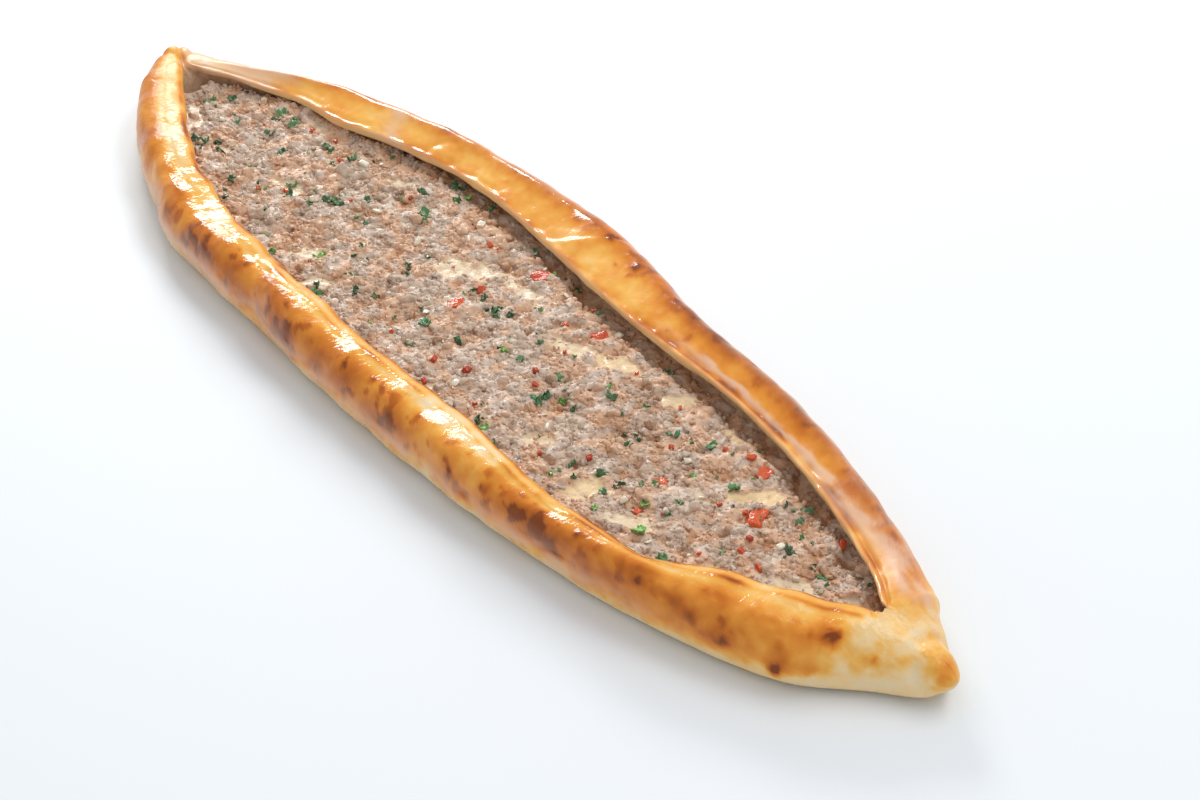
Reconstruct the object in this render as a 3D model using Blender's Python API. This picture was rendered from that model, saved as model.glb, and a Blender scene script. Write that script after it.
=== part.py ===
"""A Turkish pide: a boat of dough, its long edges folded in over a filling of minced meat and diced pepper.

Metres, +Z up. +X runs along the boat to its pale pinched tip, +Y across it to the broad fold, and the origin
is the middle of the base. Every section across the boat is one ring of points, worked out from these sizes.
"""

import math

import bmesh
import bpy
from mathutils import Euler, Matrix, Vector, noise

NARROW, BROAD = -1, 1        # the two long sides, named for their folds; the sign is the way they lie along Y

# ---- Edges seen from above. Each has its greatest reach from the middle line, the power of its taper to the
# ---- back and to the front, and its fullness: 0.5 ends like an ellipse and 1 like a wedge. Soft waves are
# ---- added, each given as its middle along X, its reach along X and its height.
HALF_LENGTH = 0.230
OUTER = {NARROW: (0.0695, 2.4, 2.1, 0.50), BROAD: (0.0635, 2.3, 1.6, 0.78)}
OUTER_WAVES = {
    NARROW: ((-0.116, 0.034, 0.0040), (0.217, 0.016, -0.0100)),
    BROAD: ((0.052, 0.045, -0.0070), (-0.188, 0.022, -0.0065), (0.195, 0.025, 0.0015)),
}
OPENING_BACK, OPENING_FRONT = (-0.213, -0.007), (0.200, -0.005)     # the opening's ends
LIP = {NARROW: (0.043, 3.5, 3.4, 1.15), BROAD: (0.039, 3.3, 2.8, 0.80)}
LIP_WAVES = {
    NARROW: ((0.137, 0.017, 0.0075), (0.095, 0.042, 0.0045), (0.046, 0.024, -0.0040)),
    BROAD: ((-0.067, 0.045, 0.0055), (-0.143, 0.014, -0.0040), (0.039, 0.037, -0.0030)),
}

# ---- The folded rims ----
CREST_HEIGHT = {NARROW: 0.0215, BROAD: 0.0205}
CREST_SHARE = {NARROW: 0.52, BROAD: 0.36}      # where the crest lies across the rim, from the outside
CREST_SHARE_AT_ENDS, CREST_SHARE_AT_TIPS = 0.60, 0.78
LIP_HEIGHT = {NARROW: 0.0172, BROAD: 0.0150}   # middle of the rolled lip
LIP_RADIUS = {NARROW: 0.0028, BROAD: 0.0023}
TOP_DIP = {NARROW: 0.0, BROAD: 0.0014}         # hollow between the crest and the lip
TOP_FALL_POWER = 1.8         # how late the top falls from the crest to the lip
CREST_WAVES = {
    NARROW: ((-0.12, 0.016, -0.001), (-0.045, 0.02, 0.001), (0.095, 0.022, -0.0014), (0.214, 0.006, -0.0012)),
    BROAD: ((-0.205, 0.016, -0.0015), (-0.1, 0.018, 0.0008), (-0.015, 0.01, 0.0014), (0.214, 0.006, -0.0012)),
}
SIDE_HEIGHT = 0.0080         # height of the widest line of the outside
SIDE_SHARE = 0.42            # the most that height may be of the crest's
FOOT_INSET = 0.0060          # how far the base stands in from that line
LOW_X, LOW_Y = 0.140, 0.030  # the underside lies on four low corners, this far from the middle
UNDERSIDE_ARCH = 0.0002      # and is flat and this much higher between them
UNDERSIDE_SLOPE, UNDERSIDE_RISE = 0.020, 0.0010      # outside them it rises, but at most this much
FULL_WIDTH = 0.018           # a rim narrower than this has a smaller lip and foot
FLOOR = 0.0045               # thickness of the dough under the filling
POCKET = 0.0090              # how far the hollow runs in under each lip, but at most
POCKET_SHARE = 0.45          # this share of the rim's width

# ---- The pinched tips: at the back, the narrow fold's end stands proud of the broad fold's ----
BACK_WALL, FRONT_WALL = 0.007, 0.004           # how far the opening's end walls lean
CLOSING_LENGTH = 0.030       # the lips rise level with the crests over this length before the opening's ends
MERGE_LENGTH = 0.014         # and the two crests become one over this length past them
TIP_HEIGHT = {"back": 0.96, "front": 0.66}     # as shares of the crest
SEAM_DEPTH = {"back": 0.0022, "front": 0.0003}
SEAM_WIDTH = 0.0008
NOSE = {"back": 0.008, "front": 0.016}         # length over which each tip rounds off
NOSE_LIFT = {"back": 0.0050, "front": 0.0060}
NOSE_FALL = {"back": 0.35, "front": 0.75}      # how much of the height is lost at the very tip, squared

# ---- The filling and the diced pepper lying in it ----
GAP = 0.0003                 # clearance between pieces that touch
FILLING_TOP = 0.0100
FILLING_RISE = 0.0015        # how much higher it lies at the back
FILLING_RISE_FROM, FILLING_RISE_LENGTH = -0.060, 0.120
FILLING_RELIEF = 0.0009
RELIEF_SCALE = 0.011
FILLING_INSET = 0.0012       # the filling stops short of the hollow's walls
FILLING_ENDS = {"back": 0.007, "front": 0.006}     # how far it stops short of the opening's ends
FILLING_EDGE = 0.0012        # thickness of its rounded edges
# middle along X and Y, length and width of the dice, and its turn about Z in degrees
PEPPERS = (
    (-0.0145, 0.0265, 0.0078, 0.0066, 30),
    (-0.0190, -0.0075, 0.0064, 0.0056, 65),
    (0.1355, 0.0020, 0.0086, 0.0060, 125),
    (0.0270, 0.0210, 0.0062, 0.0054, 40),
    (0.1200, 0.0180, 0.0060, 0.0046, 110),
    (0.1040, -0.0120, 0.0064, 0.0046, 150),
)
PEPPER_THICKNESS = 0.0024
PEPPER_PROUD = 0.0011        # how far a dice stands out of the filling

# ---- Fineness of the mesh ----
STATIONS = 76
LOW_CLEAR = 0.002            # no other section is this close to one through the low corners
BASE_SHARE = 0.8             # where the boat is narrow, their lines lie this share of the way out
FOOT_STEPS, SHOULDER_STEPS, TOP_STEPS, LIP_STEPS, FLOOR_STEPS = 3, 5, 5, 4, 2
FILLING_STATIONS, FILLING_STEPS = 56, 14

DOUGH_COLOUR = (0.62, 0.27, 0.06, 1.0)
MEAT_COLOUR = (0.33, 0.20, 0.15, 1.0)
PEPPER_COLOUR = (0.60, 0.08, 0.02, 1.0)


def clamp(value, low=0.0, high=1.0):
    return max(low, min(high, value))


def smooth(value):
    """0 to 1 with level ends."""
    value = clamp(value)
    return value * value * (3 - 2 * value)


def mix(first, second, share):
    return first + (second - first) * share


def taper(share, power, fullness):
    """1 in the middle of a boat-shaped outline and 0 at its ends, which lie at -1 and 1."""
    return max(0.0, 1.0 - abs(share) ** power) ** fullness


def waves(x, bumps):
    """Sum of soft bumps, each given as its middle, its reach and its height."""
    return sum(height * math.exp(-(((x - middle) / reach) ** 2)) for middle, reach, height in bumps)


def edge_line(share, shape):
    """Reach of a tapering edge, where share runs from -1 at the back to 1 at the front."""
    reach, back_power, front_power, fullness = shape
    return reach * taper(share, back_power if share < 0 else front_power, fullness)


def outer_edge(x, side):
    """Y of the boat's widest line."""
    reach = edge_line(x / HALF_LENGTH, OUTER[side])
    return side * (reach + waves(x, OUTER_WAVES[side]) * clamp(6 * reach / OUTER[side][0]))


def seam(x):
    """Y of the line through the opening's ends and on to the tips, where the folds meet."""
    (back, back_y), (front, front_y) = OPENING_BACK, OPENING_FRONT
    if back < x < front:
        return mix(back_y, front_y, (x - back) / (front - back))
    end, end_y = OPENING_BACK if x < 0 else OPENING_FRONT
    return end_y * (HALF_LENGTH - abs(x)) / (HALF_LENGTH - abs(end))


def lip_edge(x, side):
    """Y of the innermost line of a rolled lip. Past the opening's ends it is the seam, for both sides."""
    back, front = OPENING_BACK[0], OPENING_FRONT[0]
    reach = edge_line((2 * x - back - front) / (front - back), LIP[side])
    reach += waves(x, LIP_WAVES[side]) * clamp(3 * reach / LIP[side][0])
    least = min(SEAM_WIDTH / 2, 0.2 * abs(outer_edge(x, side) - seam(x)))
    return seam(x) + side * max(reach, least)


def openness(x):
    """1 where the boat is open, falling to 0 at the opening's end walls."""
    return smooth(min((x - OPENING_BACK[0]) / BACK_WALL, (OPENING_FRONT[0] - x) / FRONT_WALL))


def closing(x):
    """0 along the opening, rising to 1 at its ends and staying so beyond them."""
    return smooth(1 - min(x - OPENING_BACK[0], OPENING_FRONT[0] - x) / CLOSING_LENGTH)


def merging(x):
    """0 along the opening, rising to 1 where the two crests have become one."""
    return smooth(max(OPENING_BACK[0] - x, x - OPENING_FRONT[0]) / MERGE_LENGTH)


def end_of(x):
    return "back" if x < 0 else "front"


def nose_share(x):
    """0 along the boat, rising to 1 at the very tips."""
    return clamp(1 - (HALF_LENGTH - abs(x)) / NOSE[end_of(x)])


def crest_height(x, side):
    """Height of a rim's crest, which falls towards the pinched tips and rounds off at them."""
    ends = taper(x / HALF_LENGTH, 6, 1)
    height = CREST_HEIGHT[side] * mix(TIP_HEIGHT[end_of(x)], 1, smooth(1.6 * ends))
    height += waves(x, CREST_WAVES[side]) * clamp(4 * ends)
    lift = nose_lift(x)
    return lift + (height - lift) * math.sqrt(1 - NOSE_FALL[end_of(x)] * nose_share(x) ** 2)


def nose_lift(x):
    """How far the very tips are lifted."""
    return NOSE_LIFT[end_of(x)] * nose_share(x) ** 2


def underside(x, y):
    """Height of the underside: flat in the middle, down to four low corners, and up again outside them."""
    corner = min(1, abs(x) / LOW_X) * min(1, abs(y) / LOW_Y)
    arch = UNDERSIDE_ARCH * clamp(2 - 2 * corner)
    outside = math.hypot(max(0.0, abs(x) - LOW_X), max(0.0, abs(y) - LOW_Y))
    return nose_lift(x) + arch + min(UNDERSIDE_RISE, UNDERSIDE_SLOPE * outside)


def pocket_inset(x, width):
    """How far in from the outer edge the hollow's wall stands: half as deep under the lip at the ends."""
    return width - min(POCKET, POCKET_SHARE * width) * mix(1.0, 0.5, closing(x))


def rim_section(x, side):
    """Points (inset from the outer edge, height) from the foot up over the rim and down to the floor."""
    width = abs(outer_edge(x, side) - lip_edge(x, side))
    scale = min(1.0, width / FULL_WIDTH)
    foot = FOOT_INSET * scale
    crest, base = crest_height(x, side), underside(x, abs(outer_edge(x, side)) - foot)
    waist = base + min(SIDE_HEIGHT, SIDE_SHARE * (crest - base))
    crest_share = mix(CREST_SHARE[side], CREST_SHARE_AT_ENDS, closing(x))
    crest_inset = mix(crest_share, CREST_SHARE_AT_TIPS, merging(x)) * width
    radius = min(LIP_RADIUS[side] * scale, 0.9 * (width - crest_inset))
    lip_at_ends = crest - mix(1.1, 1.0, merging(x)) * radius
    lip = mix(min(LIP_HEIGHT[side], crest - 1.3 * radius), lip_at_ends, closing(x))
    dip = TOP_DIP[side] * scale * (1 - closing(x))
    points = []
    for i in range(FOOT_STEPS):
        angle = i / FOOT_STEPS * math.pi / 2
        points.append((foot * (1 - math.sin(angle)), mix(waist, base, math.cos(angle))))
    for i in range(SHOULDER_STEPS):
        angle = i / SHOULDER_STEPS * math.pi / 2
        points.append((crest_inset * (1 - math.cos(angle)), mix(waist, crest, math.sin(angle))))
    for i in range(TOP_STEPS):
        share = i / TOP_STEPS
        height = mix(crest, lip + radius, share ** TOP_FALL_POWER) - dip * math.sin(math.pi * share)
        points.append((mix(crest_inset, width - radius, share), height))
    inside = []
    for i in range(LIP_STEPS + 1):
        angle = i / LIP_STEPS * math.pi
        inside.append((width - radius + radius * math.sin(angle), lip + radius * math.cos(angle)))
    pocket = pocket_inset(x, width)
    inside.append((mix(width, pocket, 0.75), lip - 1.2 * radius))
    inside.append((pocket, mix(FLOOR, lip, 0.35)))
    inside.append((mix(width, pocket, 0.8), FLOOR))
    open_share = openness(x)
    for i, (inset, height) in enumerate(inside):
        share = i / (len(inside) - 1)
        shut = (mix(width - radius, width, share), lip + radius - SEAM_DEPTH[end_of(x)] * scale * share ** 2)
        points.append((mix(shut[0], inset, open_share), mix(shut[1], height, open_share)))
    return points


def base_section(x, far_foot, near_foot):
    """Points of the underside between the two feet: its middle, and the lines of its low corners."""
    far, near = min(LOW_Y, BASE_SHARE * far_foot), max(-LOW_Y, BASE_SHARE * near_foot)
    return [(y, underside(x, y)) for y in (near, mix(near, far, 0.5), far)]


def ring(x):
    """The whole section at x, as points, from the underside round by the broad rim and back."""
    far = [(outer_edge(x, BROAD) - inset, height) for inset, height in rim_section(x, BROAD)]
    near = [(outer_edge(x, NARROW) + inset, height) for inset, height in rim_section(x, NARROW)]
    floor = []
    for i in range(1, FLOOR_STEPS + 1):
        share = i / (FLOOR_STEPS + 1)
        floor.append((mix(far[-1][0], near[-1][0], share), mix(far[-1][1], near[-1][1], share)))
    base = base_section(x, far[0][0], near[0][0])
    return [Vector((x, y, z)) for y, z in base + far + floor + near[::-1]]


def stations():
    """X of each section: close together where the tips round off and where the opening ends."""
    found = [HALF_LENGTH * math.sin(math.pi * (i / (STATIONS - 1) - 0.5)) for i in range(1, STATIONS - 1)]
    for end, wall in ((OPENING_BACK[0], BACK_WALL), (OPENING_FRONT[0], -FRONT_WALL)):
        found = [x for x in found if not -0.2 < (x - end) / wall < 1.2]
        found += [end + wall * share for share in (0.0, 0.25, 0.5, 0.75, 1.0)]
    found = [x for x in found if abs(abs(x) - LOW_X) > LOW_CLEAR]
    return sorted(found + [-LOW_X, LOW_X])


def lofted(name, rings, colour, roughness):
    """A closed solid through rings of equally many points, its ends closed by fans."""
    mesh = bmesh.new()
    rows = [[mesh.verts.new(point) for point in row] for row in rings]
    for row, following in zip(rows, rows[1:]):
        for i, corner in enumerate(row):
            j = (i + 1) % len(row)
            mesh.faces.new((corner, row[j], following[j], following[i]))
    for row in (rows[0], rows[-1]):
        pole = mesh.verts.new(sum((corner.co for corner in row), Vector()) / len(row))
        for i, corner in enumerate(row):
            mesh.faces.new((corner, row[(i + 1) % len(row)], pole))
    bmesh.ops.recalc_face_normals(mesh, faces=mesh.faces)
    return finished(name, mesh, colour, roughness)


def finished(name, mesh, colour, roughness):
    """Turns a bmesh into a named, smooth-shaded object with its own material."""
    data = bpy.data.meshes.new(name)
    mesh.to_mesh(data)
    mesh.free()
    data.shade_smooth()
    data.set_sharp_from_angle(angle=math.radians(50))
    material = bpy.data.materials.new(name)
    material.use_nodes = True
    shader = material.node_tree.nodes["Principled BSDF"]
    shader.inputs["Base Color"].default_value = colour
    shader.inputs["Roughness"].default_value = roughness
    shader.inputs["Metallic"].default_value = 0.0
    data.materials.append(material)
    made = bpy.data.objects.new(name, data)
    bpy.context.scene.collection.objects.link(made)
    return made


def relief(x, y):
    """Height of the filling's uneven top."""
    place = Vector((x, y, 0)) / RELIEF_SCALE
    lumps = noise.noise(place) + 0.5 * noise.noise(2.1 * place + Vector((0, 0, 9)))
    rise = FILLING_RISE * smooth((FILLING_RISE_FROM - x) / FILLING_RISE_LENGTH)
    return FILLING_TOP + rise + FILLING_RELIEF * lumps


def filling_section(x, rounding):
    """One section of the filling, which tucks in under both lips. rounding is 1, and less near the ends."""
    sides = []
    for side in (BROAD, NARROW):
        width = abs(outer_edge(x, side) - lip_edge(x, side))
        inset = pocket_inset(x, width) + FILLING_INSET
        wander = 0.5 * FILLING_INSET * noise.noise(Vector((x, side, 0.5)) / RELIEF_SCALE)
        sides.append(outer_edge(x, side) - side * (inset + abs(wander)))
    far, near = (mix(sum(sides) / 2, edge, rounding) for edge in sides)
    bottom = FLOOR + GAP
    points = []
    for i in range(FILLING_STEPS + 1):
        share = i / FILLING_STEPS
        y = mix(far, near, share)
        edge = rounding * (1 - abs(2 * share - 1) ** 8) ** 0.5
        points.append(Vector((x, y, mix(bottom + FILLING_EDGE, relief(x, y), edge))))
    for i in range(1, FLOOR_STEPS + 2):
        y = mix(near, far, i / (FLOOR_STEPS + 2))
        points.append(Vector((x, y, bottom)))
    return points


def make_filling():
    first, last = OPENING_BACK[0] + FILLING_ENDS["back"], OPENING_FRONT[0] - FILLING_ENDS["front"]
    rings = []
    for i in range(FILLING_STATIONS):
        share = i / (FILLING_STATIONS - 1)
        x = mix(first, last, share)
        rings.append(filling_section(x, mix(0.75, 1, smooth(min(share, 1 - share) * FILLING_STATIONS / 2))))
    return lofted("filling", rings, MEAT_COLOUR, 0.45)


def dice(name, length, width, thickness, place, turn):
    """A soft-edged block of pepper."""
    mesh = bmesh.new()
    bmesh.ops.create_cube(mesh, size=1.0, matrix=Matrix.Diagonal((length, width, thickness, 1.0)))
    uprights = [edge for edge in mesh.edges if abs(edge.verts[0].co.z - edge.verts[1].co.z) > thickness / 2]
    bmesh.ops.bevel(mesh, geom=uprights, offset=0.22 * width, segments=2, affect="EDGES", profile=0.5)
    made = finished(name, mesh, PEPPER_COLOUR, 0.3)
    made.location = place
    made.rotation_euler = Euler((0, 0, math.radians(turn)))
    return made


def make_peppers(filling):
    """The dice lie in pockets of the filling, clear of it by GAP all round."""
    for number, (x, y, length, width, turn) in enumerate(PEPPERS, 1):
        top = relief(x, y) + PEPPER_PROUD
        place = Vector((x, y, top - PEPPER_THICKNESS / 2))
        dice(f"pepper_{number}", length, width, PEPPER_THICKNESS, place, turn)
        tall = 2 * PEPPER_THICKNESS
        cutter_place = Vector((x, y, top - PEPPER_THICKNESS - GAP + tall / 2))
        cutter = dice(f"pocket_{number}", length + 2 * GAP, width + 2 * GAP, tall, cutter_place, turn)
        cutter.hide_render = True
        cutter.display_type = "WIRE"
        cut = filling.modifiers.new(cutter.name, "BOOLEAN")
        cut.operation = "DIFFERENCE"
        cut.object = cutter


def centre_on_base(crust, others):
    """Moves everything so that the crust's box stands centred on the origin."""
    corners = [vertex.co for vertex in crust.data.vertices]
    low = Vector(min(corner[axis] for corner in corners) for axis in range(3))
    high = Vector(max(corner[axis] for corner in corners) for axis in range(3))
    shift = Vector((-(low.x + high.x) / 2, -(low.y + high.y) / 2, -low.z))
    for piece in [crust] + others:
        piece.location += shift


def main():
    for old in list(bpy.data.objects):
        bpy.data.objects.remove(old)
    crust = lofted("crust", [ring(x) for x in stations()], DOUGH_COLOUR, 0.35)
    filling = make_filling()
    make_peppers(filling)
    centre_on_base(crust, [piece for piece in bpy.data.objects if piece is not crust])


main()
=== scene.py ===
"""The looks of a Turkish pide: a baked crust, and a filling of minced meat, pepper, onion and parsley.

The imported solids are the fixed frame. The crust is a finer copy of its solid, worked over and baked. The
filling's solid gives way to a bed of mince with loose crumbs, chips and leaves lying on it. Metres, +Z up,
and +X along the boat to its pale front tip. The two rims are told apart by the side they lie on: NARROW is
at -Y and BROAD at +Y. A point's station is its X.
"""

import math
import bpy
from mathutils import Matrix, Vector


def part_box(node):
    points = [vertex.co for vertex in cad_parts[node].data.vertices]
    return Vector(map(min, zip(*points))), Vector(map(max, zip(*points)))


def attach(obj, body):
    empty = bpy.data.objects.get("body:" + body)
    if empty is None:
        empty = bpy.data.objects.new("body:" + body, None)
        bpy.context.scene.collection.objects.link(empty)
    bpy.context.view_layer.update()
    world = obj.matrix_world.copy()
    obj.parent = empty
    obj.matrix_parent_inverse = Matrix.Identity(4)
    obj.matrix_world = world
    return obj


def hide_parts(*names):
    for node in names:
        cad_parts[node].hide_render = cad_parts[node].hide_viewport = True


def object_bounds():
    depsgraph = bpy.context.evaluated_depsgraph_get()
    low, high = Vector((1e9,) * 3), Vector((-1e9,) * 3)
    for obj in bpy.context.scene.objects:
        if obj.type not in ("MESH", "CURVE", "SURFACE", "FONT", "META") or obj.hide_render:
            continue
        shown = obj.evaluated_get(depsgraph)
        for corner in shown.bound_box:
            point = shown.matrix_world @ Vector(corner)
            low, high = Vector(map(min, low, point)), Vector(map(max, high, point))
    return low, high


bl_info = {
    "name": "Turkish Pide",
    "version": (1, 0, 0),
    "blender": (4, 5, 0),
    "location": "3D View > Sidebar > Pide",
    "description": "Bakes the crust and fills in the mince of a Turkish pide over its packed solids",
    "category": "Add Mesh",
}

from contextlib import contextmanager

import bmesh
import bpy
import numpy as np
from mathutils import Euler, Vector, noise

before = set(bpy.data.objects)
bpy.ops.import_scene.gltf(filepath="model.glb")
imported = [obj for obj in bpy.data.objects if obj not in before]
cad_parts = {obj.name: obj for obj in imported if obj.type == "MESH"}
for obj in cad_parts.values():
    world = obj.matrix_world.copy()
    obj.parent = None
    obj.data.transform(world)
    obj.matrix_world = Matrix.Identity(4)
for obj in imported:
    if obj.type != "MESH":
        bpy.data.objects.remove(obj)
CAD_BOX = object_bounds()

MM = 0.001
NARROW, BROAD = -1, 1

# ---- How the crust's solid is laid out: each ring of its mesh starts with the underside and runs round by
# ---- the broad rim. A rim's points count from its foot, and these are the places of its parts among them.
UNDERSIDE_POINTS, RIM_POINTS, FLOOR_POINTS = 3, 21, 2
WAIST, CREST, LIP_TOP, LIP_NOSE, LIP_UNDER, WALL = 3.0, 8.0, 13.0, 15.0, 17.0, 19.0
INNER_EDGE, GROOVE, BEAD = 10.4, 12.9, 14.1      # the narrow rim's inner edge, and the broad lip's parts
HOLLOW_BACK, HOLLOW_FRONT = -0.2131, 0.2001      # the hollow's ends
FOOT_SLOPE = 0.15                                # the underside is flatter than this, and a foot steeper
POLE_EDGES = 30                                  # only the middle points of the ends have this many edges

# ---- Relief of the crust. The waves are deeper on the narrow rim, and the bead and the groove are the
# ---- broad lip's.
WAVES, NARROW_WAVES, DENTS, RIPPLES = 0.7 * MM, 0.9 * MM, 1.1 * MM, 0.22 * MM
BEAD_RISE, GROOVE_DEPTH, BLISTER_RISE, FOLD_STEP = 0.5 * MM, 0.4 * MM, 0.5 * MM, 0.5 * MM
FLAT_RISE, FLAT_DEPTH = 0.8 * MM, 0.4 * MM       # these flatten the narrow rim's outer shoulder
SETTLING = 0.25 * MM                             # the crust is let in by this, to stay within its solid
FRONT_ROUNDED = 203 * MM                         # the front tip is rounded from here on
ENDS_KEPT = (228.6 * MM, 229.4 * MM)             # the relief fades out between these stations
LONGEST_EDGE = 3.6 * MM                          # the crust's faces are halved once where they are longer

# ---- Places that bulge out of the crust: place in millimetres, radius and height. The first is the browned
# ---- nub at the front tip.
BULGES = (
    (222.5, 3, 13.5, 7.0, 1.7), (-225, 0, 19, 5.0, 1.3), (-96, 42, 19, 5.0, 0.5), (225.5, -1, 5, 2.6, 1.2),
)
# ---- Blisters on the crust: place in millimetres, radius, and how darkly each is baked.
BLISTERS = (
    (-105, -61, 17, 3.0, 0.30), (-94, -61, 17, 3.5, 0.32), (-53, -65, 13, 2.6, 0.34),
    (-33, -64, 15, 3.2, 0.55), (0, -61, 19, 1.6, 0.40), (14, -59, 21, 1.7, 0.50), (31, -64, 14, 2.6, 0.55),
    (22, -63, 16, 1.8, 0.40), (65, -62, 14, 2.6, 0.38), (80, -60, 17, 1.7, 0.45), (87, -58, 18, 1.5, 0.35),
    (103, -55, 19, 2.0, 0.50), (104, -58, 15, 4.2, 0.62), (111, -57, 13, 3.4, 0.50),
    (119, -52, 20, 1.9, 0.40), (145, -48, 18, 1.8, 0.50), (164, -44, 15, 2.2, 0.42),
    (173, -39, 17, 1.9, 0.45), (192, -35, 8, 2.9, 0.70), (200, -20, 19, 3.5, 0.80),
    (211, -13, 15, 2.3, 0.46), (5, 48, 19, 1.6, 0.50), (12, 52, 20, 1.9, 0.62), (-8, 56, 21, 1.9, 0.60),
    (14, 48, 19, 1.7, 0.32), (150, -43, 10, 2.4, 0.40), (176, -42, 12, 2.0, 0.45), (47, 39, 18, 1.3, 0.30),
    (55, 41, 18, 1.5, 0.34), (-60, 57, 21, 1.5, 0.45), (-106, 52, 20, 1.6, 0.40), (50, 52, 20, 1.4, 0.35),
    (90, 41, 20, 1.5, 0.35), (130, 34, 20, 1.3, 0.30),
)
# ---- Places that took more colour in the oven, or less: middle in millimetres, reach along X, reach across
# ---- X, and the change in colour.
PATCHES = (
    (-205, -30, 16, 22, 12, -0.08), (-150, -50, 12, 30, 7, -0.03), (-100, -62, 12, 34, 7, 0.08),
    (-40, -64, 12, 40, 7, 0.14), (25, -63, 13, 22, 7, 0.12), (48, -55, 21, 22, 12, -0.16),
    (70, -52, 21, 16, 10, -0.10), (98, -55, 17, 24, 9, 0.09), (128, -50, 16, 16, 8, 0.04),
    (160, -40, 15, 26, 9, -0.02), (186, -28, 17, 16, 11, -0.05), (202, -24, 6, 6, 5, 0.22),
    (223, 3, 14, 6.5, 7, 0.34), (203, 10, 19, 7, 7, 0.22), (211, -14, 14, 7, 5, 0.12),
    (217, -10, 4, 5, 4, 0.24), (226, -1, 4.5, 3, 3, 0.35), (-216, 8, 18, 12, 9, -0.16),
    (-222, -6, 16, 10, 8, 0.04), (-150, 46, 20, 18, 7, 0.14), (-128, 46, 19, 12, 8, -0.16),
    (-100, 54, 19, 22, 7, 0.06), (-10, 56, 20, 26, 6, 0.10), (5, 46, 18, 16, 5, -0.06),
    (60, 48, 20, 40, 5, 0.16), (110, 40, 20, 34, 5, 0.12), (160, 28, 19, 28, 6, 0.10),
)
# ---- How brown the crust is: the place of each of its colours on the scale, and its parts on that scale.
BAKE_STOPS = (0.02, 0.16, 0.30, 0.46, 0.66, 0.88)
NARROW_BAKE, NARROW_SHOULDER_BAKE, NARROW_LIP_BAKE, NARROW_UNDER_LIP_BAKE = 0.26, 0.30, 0.40, 0.42
BROAD_BAKE, BROAD_SHOULDER_BAKE, BROAD_LIP_BAKE, BROAD_UNDER_LIP_BAKE = 0.33, 0.25, 0.18, 0.16
TIP_BAKE, UNDERSIDE_BAKE = 0.12, 0.09
DRY_ROUGHNESS = 0.55
# The painted sheen: its strongest share, and its colour, a pale pinkish reflection of the bright surroundings
# painted into the crust
THICKEST_PAINTED_SHEEN = 0.7
PAINTED_SHEEN_COLOUR = (0.80, 0.54, 0.38)
SOAKED_DARK, SOAKED_LIGHT = (0.42, 0.25, 0.15), (0.64, 0.44, 0.28)

# ---- The filling: its level, how far it rises to the back, how far it is let down under the broad lip, where
# ---- it is bare and under the large dice, and how far it stops from the walls of the hollow.
BED_COLUMNS, BED_ROWS = 640, 122
BED_LEVEL, BACK_RISE = 10.0 * MM, 1.5 * MM
SUNKEN_DEPTH, BARE_DEPTH, DICE_DEPTH = 3.8 * MM, 0.7 * MM, 1.2 * MM
BED_CLEAR = 1.0 * MM
BED_THICKNESS = 0.4 * MM
FILLING_LOW, FILLING_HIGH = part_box("filling")
DICE_NAMES = sorted(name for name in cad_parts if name.startswith("pepper"))
DICE_BOXES = [np.array(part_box(name)) for name in DICE_NAMES]
DICE_CURL = 14.0                                 # a large dice droops by this times its distance squared
GREY_MEAT, OILY_FAT = (0.43, 0.335, 0.285), (0.74, 0.39, 0.20)
ORANGE_PEPPER, BRIGHT_PARSLEY = (0.66, 0.10, 0.022), (0.09, 0.20, 0.04)
ONION_DARK, ONION_LIGHT = (0.60, 0.48, 0.34), (0.84, 0.78, 0.62)

# ---- Bare places in the filling, where pale dough and melted fat show between the mince: middle, length and
# ---- width in millimetres, turn in degrees, and how yellow.
BARE_PLACES = (
    (-35, 12, 30, 9, 35, 0.4), (-12, 20, 16, 6, 10, 0.3), (28, 14, 20, 7, 25, 0.5), (15, -40, 14, 7, 60, 0.5),
    (44, 20, 18, 8, 20, 0.8), (92, -30, 16, 9, 70, 0.9), (60, -28, 15, 6, 40, 0.5), (128, 12, 24, 6, 60, 0.9),
    (113, -28, 16, 6, 30, 0.4), (118, -2, 12, 5, 15, 0.2), (150, -24, 18, 8, 10, 0.6),
    (-120, -10, 18, 6, 20, 0.4), (-78, -28, 16, 6, 30, 0.4), (-150, 20, 14, 5, 10, 0.3),
    (72, 22, 14, 5, 50, 0.6), (168, -8, 14, 6, 20, 0.4), (-186, -16, 22, 6, -35, 0.1),
    (185, 0, 14, 6, 20, 0.1), (-60, -36, 14, 6, 50, 0.4), (-98, 26, 12, 5, 25, 0.3), (100, 26, 14, 5, 5, 0.7),
)

# ---- The stage: each softbox's place, size and power, the world's light, and the camera.
SOFTBOXES = (
    ("back softbox", (-1.15, 0.54, 0.59), (0.52, 0.28), 9.6),
    ("overhead softbox", (0.25, 0.9, 1.5), (1.4, 0.6), 11),
)
WORLD_COLOUR, WORLD_STRENGTH = (0.95, 0.97, 1.0, 1.0), 0.72
CAMERA_PLACE = (0.5934, -0.3978, 0.5054)
CAMERA_HEADING = (-0.8014, 0.5981)


def clamp(value, low=0.0, high=1.0):
    return np.clip(value, low, high)


def smooth(low, high, value):
    """0 below low and 1 above high, with level ends."""
    share = clamp((value - low) / (high - low))
    return share * share * (3 - 2 * share)


def fading(low, high, value):
    """1 below low and 0 above high, with level ends."""
    return 1 - smooth(low, high, value)


def bell(value, middle, width):
    """1 at the middle, falling softly to 0 on both sides of it."""
    return np.exp(-(((value - middle) / width) ** 2))


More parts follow.
